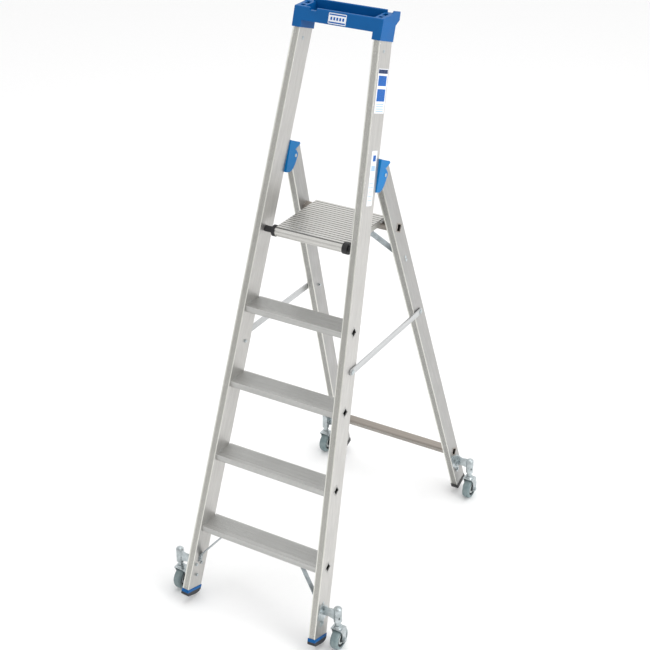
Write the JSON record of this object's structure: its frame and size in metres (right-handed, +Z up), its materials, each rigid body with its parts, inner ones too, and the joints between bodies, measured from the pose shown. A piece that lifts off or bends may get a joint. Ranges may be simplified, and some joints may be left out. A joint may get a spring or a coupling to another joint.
{
  "type": "folding mobile platform stepladder",
  "caption": "Folding aluminium platform stepladder with a tool tray, spring-loaded swivel castors on the feet and a tip-up platform.",
  "frame": {"origin": "on the floor under the centre of the bounding box", "axes": "+Z up, +X to the right of the person climbing, who faces +Y; the front (treads) faces -Y"},
  "size_m": [0.665, 1.0978, 1.896],
  "materials": {
    "aluminium": "satin",
    "zinc_steel": "satin",
    "blue_plastic": "satin",
    "black_plastic": "matte",
    "sole_rubber": "matte",
    "rim_plastic": "matte",
    "tyre_rubber": "matte",
    "label_film": "gloss"
  },
  "bodies": {
    "front_frame": {"front_stile_left": "aluminium", "front_stile_right": "aluminium", "tread_1": "aluminium", "tread_2": "aluminium", "tread_3": "aluminium", "tread_4": "aluminium", "tread_braces": "zinc_steel", "tool_tray": "blue_plastic", "front_feet": "blue_plastic", "front_soles": "sole_rubber", "hinge_bracket_left": "blue_plastic", "hinge_bracket_right": "blue_plastic", "hinge_pins": "zinc_steel", "front_rivets": "zinc_steel", "labels": "label_film", "platform_pivots": "black_plastic", "castor_bolts_front": "zinc_steel", "castor_bracket_fl": "zinc_steel", "castor_bracket_fr": "zinc_steel", "castor_spring_fl": "zinc_steel", "castor_spring_fr": "zinc_steel"},
    "rear_frame": {"rear_leg_left": "aluminium", "rear_leg_right": "aluminium", "rear_top_bar": "aluminium", "rear_bottom_bar": "aluminium", "rear_braces": "zinc_steel", "rear_feet": "black_plastic", "rear_rivets": "zinc_steel", "castor_bolts_rear": "zinc_steel", "castor_bracket_rl": "zinc_steel", "castor_bracket_rr": "zinc_steel", "castor_spring_rl": "zinc_steel", "castor_spring_rr": "zinc_steel"},
    "platform": {"platform_deck": "aluminium", "platform_end_caps": "black_plastic", "platform_hooks": "aluminium"},
    "left_strut": {"strut_left": "aluminium"},
    "right_strut": {"strut_right": "aluminium"},
    "stem_fl": {"castor_stem_fl": "zinc_steel"},
    "fork_fl": {"castor_fork_fl": "zinc_steel", "castor_axle_fl": "zinc_steel"},
    "wheel_fl": {"castor_rim_fl": "rim_plastic", "castor_tyre_fl": "tyre_rubber"},
    "stem_fr": {"castor_stem_fr": "zinc_steel"},
    "fork_fr": {"castor_fork_fr": "zinc_steel", "castor_axle_fr": "zinc_steel"},
    "wheel_fr": {"castor_rim_fr": "rim_plastic", "castor_tyre_fr": "tyre_rubber"},
    "stem_rl": {"castor_stem_rl": "zinc_steel"},
    "fork_rl": {"castor_fork_rl": "zinc_steel", "castor_axle_rl": "zinc_steel"},
    "wheel_rl": {"castor_rim_rl": "rim_plastic", "castor_tyre_rl": "tyre_rubber"},
    "stem_rr": {"castor_stem_rr": "zinc_steel"},
    "fork_rr": {"castor_fork_rr": "zinc_steel", "castor_axle_rr": "zinc_steel"},
    "wheel_rr": {"castor_rim_rr": "rim_plastic", "castor_tyre_rr": "tyre_rubber"}
  },
  "joints": [
    {"name": "rear_fold", "type": "hinge", "parent": "front_frame", "child": "rear_frame", "pos_m": [0, 0.0146, 1.419], "axis": [1, 0, 0], "range_deg": [-34, 0]},
    {"name": "platform_tip", "type": "hinge", "parent": "front_frame", "child": "platform", "pos_m": [0, -0.137, 1.226], "axis": [1, 0, 0], "range_deg": [0, 72.5]},
    {"name": "strut_left_swing", "type": "hinge", "parent": "front_frame", "child": "left_strut", "pos_m": [-0.209, -0.2385, 0.868], "axis": [1, 0, 0], "range_deg": [0, 72.5]},
    {"name": "strut_right_swing", "type": "hinge", "parent": "front_frame", "child": "right_strut", "pos_m": [0.209, -0.2385, 0.868], "axis": [1, 0, 0], "range_deg": [0, 72.5]},
    {"name": "front_left_castor_spring", "type": "slide", "parent": "front_frame", "child": "stem_fl", "axis": [0, 0, 1], "range_m": [0, 0.0155], "stiffness_N_per_m": 12000, "springref_m": -0.004, "deforming": ["castor_spring_fl"]},
    {"name": "front_left_castor_swivel", "type": "hinge", "parent": "stem_fl", "child": "fork_fl", "pos_m": [-0.3035, -0.481, 0.09], "axis": [0, 0, 1], "continuous": true},
    {"name": "front_left_wheel_roll", "type": "hinge", "parent": "fork_fl", "child": "wheel_fl", "pos_m": [-0.3035, -0.4745, 0.039], "axis": [1, 0, 0], "continuous": true},
    {"name": "front_right_castor_spring", "type": "slide", "parent": "front_frame", "child": "stem_fr", "axis": [0, 0, 1], "range_m": [0, 0.0155], "stiffness_N_per_m": 12000, "springref_m": -0.004, "deforming": ["castor_spring_fr"]},
    {"name": "front_right_castor_swivel", "type": "hinge", "parent": "stem_fr", "child": "fork_fr", "pos_m": [0.3035, -0.481, 0.09], "axis": [0, 0, 1], "continuous": true},
    {"name": "front_right_wheel_roll", "type": "hinge", "parent": "fork_fr", "child": "wheel_fr", "pos_m": [0.3035, -0.4745, 0.039], "axis": [1, 0, 0], "continuous": true},
    {"name": "rear_left_castor_spring", "type": "slide", "parent": "rear_frame", "child": "stem_rl", "axis": [0, 0, 1], "range_m": [0, 0.0155], "stiffness_N_per_m": 12000, "springref_m": -0.004, "deforming": ["castor_spring_rl"]},
    {"name": "rear_left_castor_swivel", "type": "hinge", "parent": "stem_rl", "child": "fork_rl", "pos_m": [-0.3055, 0.482, 0.09], "axis": [0, 0, 1], "continuous": true},
    {"name": "rear_left_wheel_roll", "type": "hinge", "parent": "fork_rl", "child": "wheel_rl", "pos_m": [-0.3055, 0.4885, 0.039], "axis": [1, 0, 0], "continuous": true},
    {"name": "rear_right_castor_spring", "type": "slide", "parent": "rear_frame", "child": "stem_rr", "axis": [0, 0, 1], "range_m": [0, 0.0155], "stiffness_N_per_m": 12000, "springref_m": -0.004, "deforming": ["castor_spring_rr"]},
    {"name": "rear_right_castor_swivel", "type": "hinge", "parent": "stem_rr", "child": "fork_rr", "pos_m": [0.3055, 0.482, 0.09], "axis": [0, 0, 1], "continuous": true},
    {"name": "rear_right_wheel_roll", "type": "hinge", "parent": "fork_rr", "child": "wheel_rr", "pos_m": [0.3055, 0.4885, 0.039], "axis": [1, 0, 0], "continuous": true}
  ],
  "couplings": [
    {"joint": "platform_tip", "follows": "rear_fold", "ratio": -2.1294},
    {"joint": "strut_left_swing", "follows": "rear_fold", "ratio": -2.1294},
    {"joint": "strut_right_swing", "follows": "rear_fold", "ratio": -2.1294}
  ]
}
